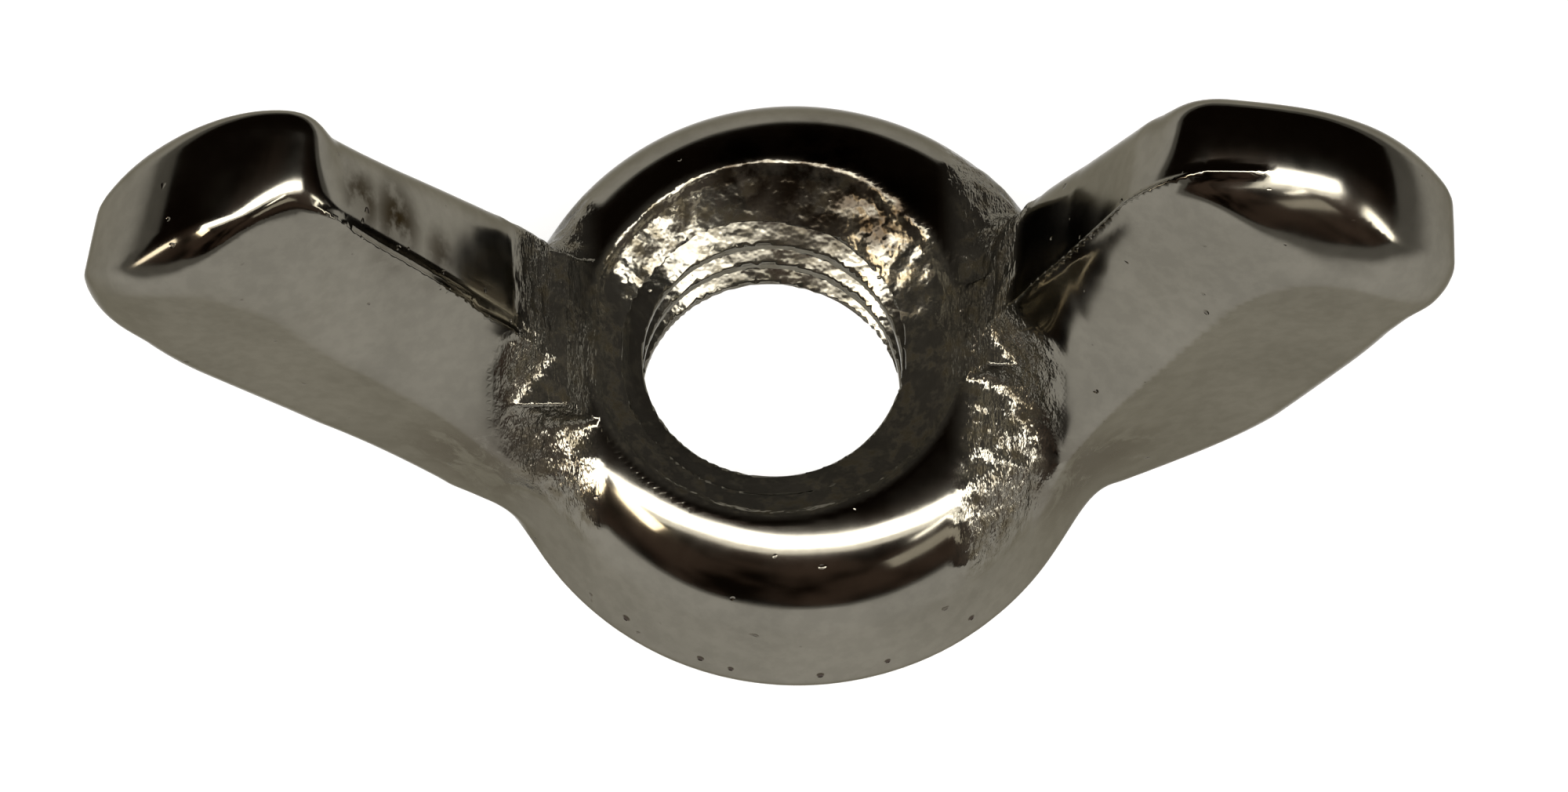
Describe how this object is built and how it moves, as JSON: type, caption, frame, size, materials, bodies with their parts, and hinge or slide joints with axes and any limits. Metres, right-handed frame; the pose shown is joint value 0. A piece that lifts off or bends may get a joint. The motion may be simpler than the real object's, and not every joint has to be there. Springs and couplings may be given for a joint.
{
  "type": "wing nut",
  "caption": "Wing nut with a round drafted hub, a dished open end, a tapped bore and rounded wings that rise outwards for turning by hand.",
  "frame": {"origin": "the bore's axis at the flat bearing face", "axes": "+Z along the bore, out of the dished open end; +X along the wings, towards the one with the longer pad; +Y across them, towards the back"},
  "size_m": [0.0334, 0.0156, 0.0152],
  "materials": {
    "nickel_plate": "bright nickel plating over a rough casting, dark warm grey in tone, with small pits, casting grain at the wing roots and fine scratches"
  },
  "bodies": {
    "root": {"wing_nut_body": "nickel_plate"}
  },
  "joints": []
}
